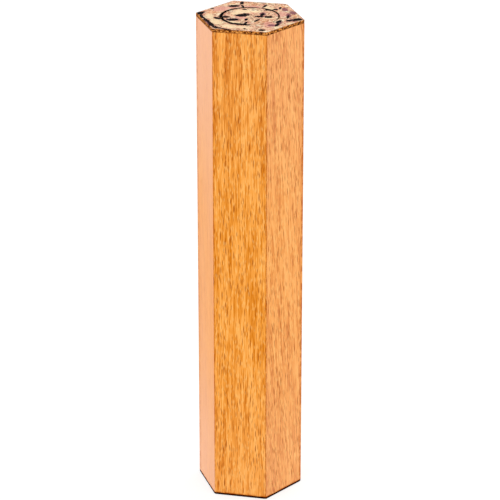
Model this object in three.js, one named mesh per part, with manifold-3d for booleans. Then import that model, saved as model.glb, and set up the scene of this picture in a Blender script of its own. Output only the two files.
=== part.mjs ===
// A six-sided wooden mezuzah case: six mitred staves glued round a hollow, a marbled facing on the
// top end, a flush round plug in it, the rolled parchment inside and two keyhole plates in the back.
// Millimetres, +Z up. The origin is the centre of the base. The front stave faces -Y and the back +Y.

import * as THREE from "three";
import { mergeVertices } from "three/addons/utils/BufferGeometryUtils.js";
import Module from "manifold-3d";

const wasm = await Module();
wasm.setup();

// ---- driving dimensions ----

// casing
const hollowRadius = 7.5; // centre to the middle of a stave's inner face
const wall = 6.5; // thickness of a stave
const arrisChamfer = 0.25; // flat that breaks each long outer edge
const glueLine = 0.1; // gap between glued faces
const facingThickness = 0.9; // marbled sheet on the top end and on the plug
const padThickness = 0.6; // dark sheet under the base
const bottomThickness = 8; // block that closes the hollow's lower end
const pushHoleRadius = 3.2; // hole through the base, for pushing the scroll out
const seatGap = 0.1; // clearance under anything that rests on another piece

// mouth and plug
const mouthStep = 1.1; // how far the round mouth is cut into the inner faces
const plugLength = 11.9; // below its facing
const plugGap = 0.35; // open ring between the plug and the mouth
const plugChamfer = 0.3;
const gripThickness = 1.2; // section of the rubber grip ring
const gripGap = 0.06; // clearance round the grip ring
const gripDepth = 6; // from the plug's top to the ring's centre

// scroll
const parchmentHeight = 120;
const parchmentWidth = 120; // length of sheet that is rolled up
const parchmentThickness = 0.3;
const rollCoreRadius = 3; // the sheet's inner edge
const rollGap = 0.15; // between the roll and its sleeve
const sleeveWall = 0.2;
const sleeveGap = 0.5; // between the sleeve and the inner faces
const sleeveOverhang = 0.5; // sleeve past each end of the roll
const headroom = 4.8; // free height between the sleeve and the plug
const lifterThickness = 2.4;
const lifterGap = 0.4; // between the lifter disc and the inner faces
const lifterChamfer = 0.4;

// hanging hardware in the back stave
const plateThickness = 1;
const plateGap = 0.15; // between a plate and its pocket
const plateInset = 26; // from each end of the case to a plate's centre
const plateRim = 1.2; // metal beside the keyhole
const plateEnd = 0.9; // metal beyond a screw's head
const plateLand = 0.6; // metal between a screw's head and the keyhole
const keyholeRadius = 3.3; // lets a wall screw's head through
const slotRadius = 1.7; // lets a wall screw's shank along
const slotRise = 7; // from the keyhole's centre to the slot's end
const headPocketMargin = 0.4; // head pocket wider than the keyhole, all round
const headPocketDepth = 2.6; // behind the plate
const screwHeadRadius = 1.9;
const screwHeadHeight = 0.9;
const screwShankRadius = 0.95;
const screwLength = 4.4;
const screwPointLength = 1.2;
const screwTipRadius = 0.3;
const screwGap = 0.1; // round the shank and under the head
const screwSlotWidth = 0.5;
const screwSlotDepth = 0.4;

// resolution
const sides = 6;
const turnedSteps = 60; // facets round a turned piece, a multiple of the sides
const rollStepsPerTurn = 26;
const screwSteps = 20;
const slotSteps = 10; // facets of a slot's round end
const gripSteps = 10; // facets round the grip ring's section
const overshoot = 1; // how far a cutter runs past the face it enters

// ---- sizes that follow ----

const flatRadius = hollowRadius + wall; // centre to the middle of a flat
const mouthRadius = hollowRadius + mouthStep;
const plugRadius = mouthRadius - plugGap;
const lifterRadius = hollowRadius - lifterGap;
const sleeveOuterRadius = hollowRadius - sleeveGap;
const sleeveInnerRadius = sleeveOuterRadius - sleeveWall;
const rollEdgeRadius = sleeveInnerRadius - rollGap - parchmentThickness / 2;
const sleeveHeight = parchmentHeight + 2 * sleeveOverhang;

// levels, from the base up
const woodBottom = padThickness + glueLine;
const bottomTop = woodBottom + bottomThickness;
const lifterBottom = bottomTop + seatGap;
const sleeveBottom = lifterBottom + lifterThickness + seatGap;
const rollBottom = sleeveBottom + sleeveOverhang;
const plugBottom = sleeveBottom + sleeveHeight + headroom;
const stepLevel = plugBottom - seatGap;
const woodTop = plugBottom + plugLength;
const facingBottom = woodTop + glueLine;
const caseTop = facingBottom + facingThickness;

// ---- materials ----

const material = (color, roughness, metalness = 0) =>
  new THREE.MeshStandardMaterial({ color, roughness, metalness });
const oak = material(0xe79a4a, 0.45);
const marbled = material(0xe8c9ac, 0.5);
const darkSheet = material(0x4a2412, 0.85);
const beech = material(0xdcb184, 0.6);
const rubber = material(0x1d1b1a, 0.7);
const parchment = material(0xead9b0, 0.75);
const clearFilm = material(0xe6ecee, 0.15);
const cork = material(0xb58555, 0.9);
const brass = material(0xc59a4a, 0.3, 1);

// ---- solids ----

const placed = (x, y, z) => new THREE.Matrix4().makeTranslation(x, y, z);
const turned = (axis, angle) =>
  new THREE.Matrix4().makeRotationAxis(axis, angle);
const axisX = new THREE.Vector3(1, 0, 0);
const axisZ = new THREE.Vector3(0, 0, 1);

// A closed geometry, moved by a matrix, as a manifold-3d solid.
function solid(geometry, matrix = new THREE.Matrix4()) {
  const bare = new THREE.BufferGeometry();
  bare.setAttribute("position", geometry.getAttribute("position").clone());
  if (geometry.index) bare.setIndex(geometry.index.clone());
  const merged = mergeVertices(bare.applyMatrix4(matrix), 1e-4);
  return new wasm.Manifold(
    new wasm.Mesh({
      numProp: 3,
      vertProperties: new Float32Array(merged.attributes.position.array),
      triVerts: new Uint32Array(merged.index.array),
    }),
  );
}

// A manifold-3d solid as a three.js geometry.
function geometryOf(body) {
  const mesh = body.getMesh();
  const geometry = new THREE.BufferGeometry();
  geometry.setAttribute("position", new THREE.BufferAttribute(mesh.vertProperties, 3));
  geometry.setIndex(new THREE.BufferAttribute(mesh.triVerts, 1));
  geometry.computeVertexNormals();
  return geometry;
}

// A profile of [radius, height] pairs turned round +Z, from its lowest point on the axis to its highest.
function turning(profile, steps = turnedSteps) {
  const points = profile.map(([radius, height]) => new THREE.Vector2(radius, height));
  const startAngle = Math.PI / 2; // puts a facet corner on the mitre planes
  return solid(
    new THREE.LatheGeometry(points, steps, startAngle, 2 * Math.PI),
    turned(axisX, Math.PI / 2),
  );
}

const cylinder = (radius, low, high, steps) =>
  turning([[0, low], [radius, low], [radius, high], [0, high]], steps);

function extrusion(shape, low, high) {
  const geometry = new THREE.ExtrudeGeometry(shape, {
    depth: high - low,
    bevelEnabled: false,
  });
  return solid(geometry, placed(0, 0, low));
}

const polygon = (points) => new THREE.Shape(points.map(([x, y]) => new THREE.Vector2(x, y)));

// A hexagon with its corners on the mitre planes and two flats square to Y.
function hexagon(flatDistance) {
  const cornerRadius = flatDistance / Math.cos(Math.PI / sides);
  const corners = [];
  for (let side = 0; side < sides; side++) {
    const angle = (2 * Math.PI * side) / sides;
    corners.push([cornerRadius * Math.cos(angle), cornerRadius * Math.sin(angle)]);
  }
  return polygon(corners);
}

// An upright slot, its round ends centred at the heights low and high, from y = back to y = front.
function uprightSlot(radius, low, high, back, front) {
  const shape = new THREE.Shape();
  shape.absarc(0, high, radius, 0, Math.PI, false);
  shape.absarc(0, low, radius, Math.PI, 2 * Math.PI, false);
  shape.closePath();
  const geometry = new THREE.ExtrudeGeometry(shape, {
    depth: front - back,
    bevelEnabled: false,
    curveSegments: slotSteps,
  });
  return solid(geometry, placed(0, front, 0).multiply(turned(axisX, Math.PI / 2)));
}

// ---- staves ----

// One stave square to -Y: its mitres are held back from the mitre planes by half a glue line, its
// long outer edges are broken, and the round mouth is cut into its upper end.
function plainStave() {
  const halfMitre = Math.PI / sides;
  const slope = Math.tan(halfMitre);
  const setBack = glueLine / 2 / Math.cos(halfMitre);
  const halfWidthAt = (depth) => depth * slope - setBack;
  const shoulderDepth = flatRadius - arrisChamfer;
  const halfFlat = halfWidthAt(shoulderDepth) - arrisChamfer * slope;
  const outline = polygon([
    [halfWidthAt(hollowRadius), -hollowRadius],
    [-halfWidthAt(hollowRadius), -hollowRadius],
    [-halfWidthAt(shoulderDepth), -shoulderDepth],
    [-halfFlat, -flatRadius],
    [halfFlat, -flatRadius],
    [halfWidthAt(shoulderDepth), -shoulderDepth],
  ]);
  const mouth = cylinder(mouthRadius, stepLevel, woodTop + overshoot);
  return extrusion(outline, woodBottom, woodTop).subtract(mouth);
}

// ---- keyhole plates and their screws, drawn square to +Y about a plate's centre at height 0 ----

const plateOuterFace = flatRadius - seatGap; // sits just below the flat
const plateInnerFace = plateOuterFace - plateThickness;
const pocketFloor = plateInnerFace - seatGap;
const headHoleRadius = screwHeadRadius + screwGap;
const keyholeLength = keyholeRadius + slotRise + slotRadius;
const keyholeCentre = keyholeRadius - keyholeLength / 2;
const slotEnd = keyholeCentre + slotRise;
const screwHeight = keyholeLength / 2 + plateLand + headHoleRadius;
const screwHeights = [-screwHeight, screwHeight];
const plateWidth = 2 * (keyholeRadius + plateRim);
const plateLength = 2 * (screwHeight + headHoleRadius + plateEnd);

// Turns something drawn along +Z so that it points out of the back, with its top at plateOuterFace.
const outOfTheBack = (height) =>
  placed(0, plateOuterFace, height).multiply(turned(axisX, -Math.PI / 2));

// A countersunk screw, or with a gap the hole that it goes in. Its tip is at -Z.
function screwBody(gap = 0) {
  const lip = gap > 0 ? overshoot : 0; // a hole runs out through the face
  const headRadius = screwHeadRadius + gap;
  const shankRadius = screwShankRadius + gap;
  const tipLevel = -screwLength - gap;
  const outline = [
    [0, tipLevel],
    [screwTipRadius + gap, tipLevel],
    [shankRadius, -screwLength + screwPointLength],
    [shankRadius, -screwHeadHeight - gap],
    [headRadius, -gap],
    [headRadius, lip],
    [0, lip],
  ];
  const distinct = gap > 0 ? outline : outline.toSpliced(4, 1);
  return turning(distinct, screwSteps);
}

function screw() {
  const slot = solid(
    new THREE.BoxGeometry(2 * screwHeadRadius + overshoot, screwSlotWidth, 2 * screwSlotDepth),
  );
  return screwBody().subtract(slot);
}

function keyholePlate() {
  const blank = solid(
    new THREE.BoxGeometry(plateWidth, plateThickness, plateLength),
    placed(0, (plateOuterFace + plateInnerFace) / 2, 0),
  );
  const back = plateInnerFace - overshoot;
  const front = plateOuterFace + overshoot;
  const keyhole = cylinder(keyholeRadius, -plateThickness - overshoot, overshoot);
  const slot = uprightSlot(slotRadius, keyholeCentre, slotEnd, back, front);
  let plate = blank
    .subtract(keyhole.transform(outOfTheBack(keyholeCentre).elements))
    .subtract(slot);
  for (const height of screwHeights) {
    plate = plate.subtract(screwBody(screwGap).transform(outOfTheBack(height).elements));
  }
  return plate;
}

// Everything that is cut out of the back stave for one plate.
function platePocket() {
  const pocketDepth = flatRadius + overshoot - pocketFloor;
  const plateSeat = solid(
    new THREE.BoxGeometry(plateWidth + 2 * plateGap, pocketDepth, plateLength + 2 * plateGap),
    placed(0, pocketFloor + pocketDepth / 2, 0),
  );
  const headPocket = uprightSlot(
    keyholeRadius + headPocketMargin,
    keyholeCentre,
    slotEnd,
    pocketFloor - headPocketDepth,
    flatRadius,
  );
  let pocket = plateSeat.add(headPocket);
  for (const height of screwHeights) {
    pocket = pocket.add(screwBody(screwGap).transform(outOfTheBack(height).elements));
  }
  return pocket;
}

// ---- turned and rolled pieces ----

// The plug below its facing, with a groove for the grip ring. It stands on the step under the mouth.
function plugCore() {
  const gripCentre = woodTop - gripDepth;
  const grooveFloor = mouthRadius - gripThickness - 2 * gripGap;
  const grooveHalf = gripThickness / 2 + gripGap;
  return turning([
    [0, plugBottom],
    [plugRadius - plugChamfer, plugBottom],
    [plugRadius, plugBottom + plugChamfer],
    [plugRadius, gripCentre - grooveHalf],
    [grooveFloor, gripCentre - grooveHalf],
    [grooveFloor, gripCentre + grooveHalf],
    [plugRadius, gripCentre + grooveHalf],
    [plugRadius, woodTop],
    [0, woodTop],
  ]);
}

function gripRing() {
  const ringRadius = gripThickness / 2;
  const centreRadius = mouthRadius - gripGap - ringRadius;
  const tube = new THREE.TorusGeometry(centreRadius, ringRadius, gripSteps, turnedSteps);
  return solid(tube, placed(0, 0, woodTop - gripDepth));
}

// The sheet rolled up on itself. It has sprung open to fill its sleeve, so the spacing of the turns
// follows from the length of sheet.
function rolledSheet() {
  const area = Math.PI * (rollEdgeRadius ** 2 - rollCoreRadius ** 2);
  const pitch = area / parchmentWidth;
  const turns = (rollEdgeRadius - rollCoreRadius) / pitch;
  const steps = Math.round(turns * rollStepsPerTurn);
  const spiral = (offset) =>
    Array.from({ length: steps + 1 }, (_, step) => {
      const angle = (2 * Math.PI * turns * step) / steps;
      const radius = rollCoreRadius + (pitch * angle) / (2 * Math.PI) + offset;
      return [radius * Math.cos(angle), radius * Math.sin(angle)];
    });
  const outside = spiral(parchmentThickness / 2);
  const inside = spiral(-parchmentThickness / 2).reverse();
  return extrusion(polygon([...outside, ...inside]), rollBottom, rollBottom + parchmentHeight);
}

function sleeve() {
  const high = sleeveBottom + sleeveHeight;
  const hole = cylinder(sleeveInnerRadius, sleeveBottom - overshoot, high + overshoot);
  return cylinder(sleeveOuterRadius, sleeveBottom, high).subtract(hole);
}

const lifterDisc = turning([
  [0, lifterBottom],
  [lifterRadius - lifterChamfer, lifterBottom],
  [lifterRadius, lifterBottom + lifterChamfer],
  [lifterRadius, lifterBottom + lifterThickness - lifterChamfer],
  [lifterRadius - lifterChamfer, lifterBottom + lifterThickness],
  [0, lifterBottom + lifterThickness],
]);

const pushHole = cylinder(pushHoleRadius, -overshoot, bottomTop + overshoot);
const bottomBlank = extrusion(hexagon(hollowRadius - glueLine), woodBottom, bottomTop);
const bottomBlock = bottomBlank.subtract(pushHole);
const basePad = extrusion(hexagon(flatRadius), 0, padThickness).subtract(pushHole);
const mouthHole = cylinder(mouthRadius, woodTop, caseTop + overshoot);
const topFacing = extrusion(hexagon(flatRadius), facingBottom, caseTop).subtract(mouthHole);
const plugFacing = cylinder(plugRadius, facingBottom, caseTop);

// ---- the assembly ----

const mezuzahCase = new THREE.Group();

function addPiece(group, name, body, finish) {
  const mesh = new THREE.Mesh(geometryOf(body), finish);
  mesh.name = name;
  group.add(mesh);
  return mesh;
}

const casing = new THREE.Group();
const plug = new THREE.Group();
const contents = new THREE.Group();
const hardware = new THREE.Group();
mezuzahCase.add(casing, plug, contents, hardware);

// Staves, anticlockwise from the front.
const staveNames = ["front", "front_right", "back_right", "back", "back_left", "front_left"];
const plateHeights = { upper: caseTop - plateInset, lower: plateInset };
staveNames.forEach((place, index) => {
  const turn = turned(axisZ, (2 * Math.PI * index) / sides);
  let stave = plainStave().transform(turn.elements);
  if (place === "back") {
    for (const height of Object.values(plateHeights)) {
      stave = stave.subtract(platePocket().translate(0, 0, height));
    }
  }
  addPiece(casing, `stave_${place}`, stave, oak);
});
addPiece(casing, "top_facing", topFacing, marbled);
addPiece(casing, "bottom_block", bottomBlock, beech);
addPiece(casing, "base_pad", basePad, darkSheet);

addPiece(plug, "plug_core", plugCore(), beech);
addPiece(plug, "plug_facing", plugFacing, marbled);
addPiece(plug, "plug_grip_ring", gripRing(), rubber);

addPiece(contents, "lifter_disc", lifterDisc, cork);
addPiece(contents, "parchment_scroll", rolledSheet(), parchment);
addPiece(contents, "scroll_sleeve", sleeve(), clearFilm);

for (const [place, plateHeight] of Object.entries(plateHeights)) {
  const plate = addPiece(hardware, `keyhole_plate_${place}`, keyholePlate(), brass);
  plate.position.z = plateHeight;
  screwHeights.forEach((height, index) => {
    const fixing = addPiece(hardware, `plate_screw_${place}_${index + 1}`, screw(), brass);
    fixing.applyMatrix4(placed(0, 0, plateHeight).multiply(outOfTheBack(height)));
  });
}

export default mezuzahCase;
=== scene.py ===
import math

import bmesh
import bpy
import numpy as np
from mathutils import Matrix, Vector


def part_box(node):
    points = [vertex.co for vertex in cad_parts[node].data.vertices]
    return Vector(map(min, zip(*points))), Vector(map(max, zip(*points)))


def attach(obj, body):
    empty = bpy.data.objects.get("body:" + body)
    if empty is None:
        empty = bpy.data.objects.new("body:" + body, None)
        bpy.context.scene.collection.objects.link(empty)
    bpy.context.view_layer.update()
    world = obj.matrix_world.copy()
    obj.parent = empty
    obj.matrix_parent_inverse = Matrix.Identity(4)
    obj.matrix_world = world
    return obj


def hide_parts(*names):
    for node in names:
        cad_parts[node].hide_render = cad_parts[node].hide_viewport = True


# Looks for a six-sided wooden mezuzah case: lacquered oak staves, a marbled top end with a flush
# round plug, the rolled parchment in its sleeve, and two brass keyhole plates let into the back.
# Metres throughout, except where a value's name or note says mm.

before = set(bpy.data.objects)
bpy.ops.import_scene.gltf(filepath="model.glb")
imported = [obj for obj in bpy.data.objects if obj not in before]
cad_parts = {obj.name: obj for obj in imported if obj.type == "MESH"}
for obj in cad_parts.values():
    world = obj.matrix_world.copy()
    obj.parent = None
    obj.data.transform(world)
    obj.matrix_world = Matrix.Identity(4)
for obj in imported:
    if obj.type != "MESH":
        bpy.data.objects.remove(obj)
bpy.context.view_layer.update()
mm = 0.001


class Field:
    # a node's output that can stand in a sum; each step of the sum is a Math node in its tree
    def __init__(self, node, output=0):
        self.node, self.output = node, output

    def __add__(self, other):
        return calc("ADD", self, other)

    def __sub__(self, other):
        return calc("SUBTRACT", self, other)

    def __rsub__(self, other):
        return calc("SUBTRACT", other, self)

    def __mul__(self, other):
        return calc("MULTIPLY", self, other)

    def __truediv__(self, other):
        return calc("DIVIDE", self, other)

    def __rtruediv__(self, other):
        return calc("DIVIDE", other, self)

    __radd__, __rmul__ = __add__, __mul__


def treeOf(*values):
    return next(value.node.id_data for value in values if isinstance(value, Field))


def feed(socket, value):
    # links a field to a socket, or sets a plain value on it
    if isinstance(value, Field):
        treeOf(value).links.new(value.node.outputs[value.output], socket)
    else:
        socket.default_value = value


def addNode(tree, kind, inputs=None, **settings):
    node = tree.nodes.new(kind)
    for name, value in settings.items():
        setattr(node, name, value)
    for name, value in (inputs or {}).items():
        feed(node.inputs[name], value)
    return node


def made(tree, kind, inputs=None, output=0, **settings):
    return Field(addNode(tree, kind, inputs, **settings), output)


def calc(operation, *values):
    return made(treeOf(*values), "ShaderNodeMath", dict(enumerate(values)), operation=operation)


def vectorCalc(operation, *values):
    inputs = dict(enumerate(values))
    return made(treeOf(*values), "ShaderNodeVectorMath", inputs, operation=operation)


def scaled(vector, amount):
    inputs = {0: vector, "Scale": amount}
    return made(treeOf(vector), "ShaderNodeVectorMath", inputs, operation="SCALE")


def split(vector):
    node = addNode(treeOf(vector), "ShaderNodeSeparateXYZ", {0: vector})
    return [Field(node, axis) for axis in range(3)]


def joined(x, y, z):
    return made(treeOf(x, y, z), "ShaderNodeCombineXYZ", {0: x, 1: y, 2: z})


def stretched(vector, x, y, z, shift=(0, 0, 0)):
    # a vector in mm, counted in cells of x by y by z mm
    return vectorCalc("MULTIPLY", vectorCalc("ADD", vector, shift), (1 / x, 1 / y, 1 / z))


def noiseOf(vector, detail=2.0, roughness=0.5, distortion=0.0):
    inputs = {"Vector": vector, "Scale": 1.0, "Detail": detail, "Roughness": roughness}
    inputs["Distortion"] = distortion
    return made(treeOf(vector), "ShaderNodeTexNoise", inputs, noise_dimensions="3D")


def cellsOf(vector):
    # how far the middle of the nearest cell is, and two random values of that cell
    inputs = {"Vector": vector, "Scale": 1.0}
    cells = addNode(treeOf(vector), "ShaderNodeTexVoronoi", inputs, voronoi_dimensions="2D")
    return Field(cells, "Distance"), *split(Field(cells, "Color"))[:2]


def ramped(value, low, high, toLow=0.0, toHigh=1.0):
    inputs = {"Value": value, "From Min": low, "From Max": high, "To Min": toLow, "To Max": toHigh}
    return made(treeOf(value), "ShaderNodeMapRange", inputs, interpolation_type="SMOOTHSTEP")


def paint(code):
    # "f39d46" as it looks on a screen, to the linear colour that nodes take
    parts = [int(code[at:at + 2], 16) / 255 for at in (0, 2, 4)]
    linear = [part / 12.92 if part < 0.04045 else ((part + 0.055) / 1.055) ** 2.4 for part in parts]
    return (*linear, 1.0)


def blended(factor, under, over):
    # sockets 0, 6 and 7 are a colour mix's factor and its two colours, and output 2 is the mix
    colour = over if isinstance(over, Field) else paint(over)
    return made(treeOf(factor), "ShaderNodeMix", {0: factor, 6: under, 7: colour}, 2, data_type="RGBA")


def colourRamp(value, *stops):
    node = addNode(treeOf(value), "ShaderNodeValToRGB", {0: value})
    marks = node.color_ramp.elements
    while len(marks) < len(stops):
        marks.new(0.5)
    for mark, (place, code) in zip(marks, stops):
        mark.position = place
        mark.color = paint(code)
    return Field(node)


def attributeOf(tree, name, output="Fac"):
    return made(tree, "ShaderNodeAttribute", None, output, attribute_name=name)


def inMm(vector):
    return vectorCalc("MULTIPLY", vector, (1 / mm,) * 3)


def placeInMm(tree):
    return inMm(made(tree, "ShaderNodeTexCoord", None, "Object"))


def newGroup(name, kind, inputs, outputs):
    # an input is given by its default value, or by its type's name where it has none
    types = {float: "Float", int: "Int", bool: "Bool", tuple: "Vector"}
    tree = bpy.data.node_groups.new(name, kind)
    for label, value in inputs.items():
        word = value if isinstance(value, str) else types[type(value)]
        socket = tree.interface.new_socket(label, in_out="INPUT", socket_type="NodeSocket" + word)
        if word != value:
            socket.default_value = value
    for label, word in outputs.items():
        tree.interface.new_socket(label, in_out="OUTPUT", socket_type="NodeSocket" + word)
    start = tree.nodes.new("NodeGroupInput")
    given = {label: Field(start, label) for label in inputs}
    return tree, given, tree.nodes.new("NodeGroupOutput").inputs


def useGroup(group, **values):
    node = treeOf(*values.values()).nodes.new("ShaderNodeGroup")
    node.node_tree = group
    for label, value in values.items():
        feed(node.inputs[label], value)
    return {socket.name: Field(node, socket.name) for socket in node.outputs}


def porePattern(grain, cellWidth, cellLength, share):
    # short open vessels lying along Z, 1 in the middle of a pore; grain is in mm
    sway = (noiseOf(stretched(grain, 5, 5, 26)) - 0.5) * 1.6
    x, _, z = split(grain)
    distance, draw, size = cellsOf(joined((x + sway) / cellWidth, z / cellLength, 0))
    crowd = noiseOf(stretched(grain, 2.4, 2.4, 34, (9, 0, 4)))
    chosen = calc("LESS_THAN", draw, ramped(crowd, 0.3, 0.68, 0.35, 1.3) * share)
    return chosen * ramped(1 - distance / (size * 0.2 + 0.2), 0.0, 0.55)


def makePores():
    inputs = {"Grain": (0.0, 0.0, 0.0), "CellWidth": 0.5, "CellLength": 3.0, "Share": 0.5}
    tree, given, out = newGroup("openPores", "ShaderNodeTree", inputs, {"Pore": "Float"})
    feed(out["Pore"], porePattern(*given.values()))
    return tree


def makeFibre():
    # streaks along Z: fine lines in broader bands, and short pale flecks; Grain is in mm
    outputs = {"Tone": "Float", "Fleck": "Float"}
    tree, given, out = newGroup("woodFibre", "ShaderNodeTree", {"Grain": (0.0, 0.0, 0.0)}, outputs)
    grain = given["Grain"]
    lines = noiseOf(stretched(grain, 0.36, 0.36, 7.5), 2.0, 0.65)
    cords = noiseOf(stretched(grain, 0.9, 0.9, 26.0, (3, 1, 7)))
    bands = noiseOf(stretched(grain, 3.6, 3.6, 60.0, (0, 5, 2)), 3.0, 0.55, 0.5)
    feed(out["Tone"], (lines - 0.5) * 1.25 + (cords - 0.5) * 0.5 + (bands - 0.5) * 0.5 + 0.5)
    x, _, z = split(stretched(grain, 0.4, 1.0, 2.2, (31, 0, 17)))
    distance, draw, _ = cellsOf(joined(x, z, 0))
    feed(out["Fleck"], ramped(distance, 0.42, 0.12) * calc("LESS_THAN", draw, 0.34))
    return tree


def makeHandling():
    # faint rubbing and dust that every outside surface picks up; Place is in mm
    inputs, outputs = {"Place": (0.0, 0.0, 0.0), "Amount": 0.1}, {"Rub": "Float", "Dust": "Float"}
    tree, given, out = newGroup("handling", "ShaderNodeTree", inputs, outputs)
    place, amount = given.values()
    smear = noiseOf(stretched(place, 7, 7, 11), 3.0, 0.6, 0.6)
    scratch = noiseOf(stretched(place, 0.12, 2.6, 3.1, (2, 8, 5)), 1.0)
    feed(out["Rub"], (smear + scratch - 1) * amount)
    speck = noiseOf(stretched(place, 0.3, 0.3, 0.3), 2.0, 0.7)
    feed(out["Dust"], ramped(speck, 0.66, 0.8) * amount)
    return tree


openPores = makePores()
woodFibre = makeFibre()
handling = makeHandling()


def newFinish(name, **fixed):
    material = bpy.data.materials.new(name)
    material.use_nodes = True
    tree = material.node_tree
    shader = tree.nodes["Principled BSDF"]
    for label, value in fixed.items():
        shader.inputs[label].default_value = value
    return material, tree, shader


def setSurface(shader, colour, roughness, height, depth, strength=0.6):
    # the height is felt as bump of the given depth in metres
    inputs = {"Height": height, "Distance": depth, "Strength": strength}
    relief = made(shader.id_data, "ShaderNodeBump", inputs)
    for label, value in (("Base Color", colour), ("Roughness", roughness), ("Normal", relief)):
        feed(shader.inputs[label], value)


oak = {
    "dark": "d67806", "middle": "f59e3a", "light": "ffb45c",
    # the last colour here is painted sheen, the pale pink of white surroundings reflected in the lacquer
    "pore": "9c4400", "fleck": "ffca7a", "arris": "bc5a04", "blush": "f7bd9d",
    "pores": {"CellWidth": 0.42, "CellLength": 4.8, "Share": 0.27},      # mm, mm, share of cells
    "finePores": {"CellWidth": 0.34, "CellLength": 3.4, "Share": 0.5},
}


def makeOak():
    material, tree, shader = newFinish("lacqueredOak", **{"IOR": 1.5, "Specular IOR Level": 0.06})
    grain = inMm(attributeOf(tree, "grain", "Vector"))
    openness = attributeOf(tree, "openness")
    tone, fleck = useGroup(woodFibre, Grain=grain).values()
    pore = useGroup(openPores, Grain=grain, **oak["pores"])["Pore"] * openness
    shifted = vectorCalc("ADD", grain, (31.7, 0, 53.1))
    finePore = useGroup(openPores, Grain=shifted, **oak["finePores"])["Pore"] * openness
    rub = useGroup(handling, Place=grain, Amount=0.08)["Rub"]

    stops = (0.32, oak["dark"]), (0.5, oak["middle"]), (0.66, oak["light"])
    spread = openness * 0.7 + 0.3
    colour = colourRamp((tone - 0.5) * spread + 0.5, *stops)
    # painted sheen: pale pink mixed in towards the ends and over the side staves
    colour = blended(attributeOf(tree, "blush"), colour, oak["blush"])
    colour = blended(fleck * 0.55 * spread, colour, oak["fleck"])
    colour = blended(finePore * 0.62, colour, oak["pore"])
    colour = blended(pore * 0.92, colour, oak["pore"])
    # darker in broken dashes along an arris
    dashes = noiseOf(stretched(grain, 2.0, 2.0, 2.6, (11, 7, 5)), 3.0, 0.65)
    edgeDarkening = attributeOf(tree, "arris") * ramped(dashes, 0.4, 0.6, 0.35, 1.3)
    colour = blended(edgeDarkening, colour, oak["arris"])

    openGrain = calc("MAXIMUM", pore, finePore * 0.6)
    roughness = openGrain * 0.25 + tone * 0.12 + 0.34 + rub
    setSurface(shader, colour, roughness, tone * 0.35 - openGrain, 0.04 * mm)
    return material


marble = {
    "cream": "fff2d2", "sand": "f8caa2", "pink": "eeae92", "salmon": "cc8468",
    "mauve": "7c4656", "vein": "3c2016", "ink": "060002", "halo": "fde2b6",
    "rose": "e4a292", "amber": "f2ac7c", "grit": "9a5c40",
    "crust": "8c4814", "crustDark": "1a0600", "crustGrain": "e89c4c",
}


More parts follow.
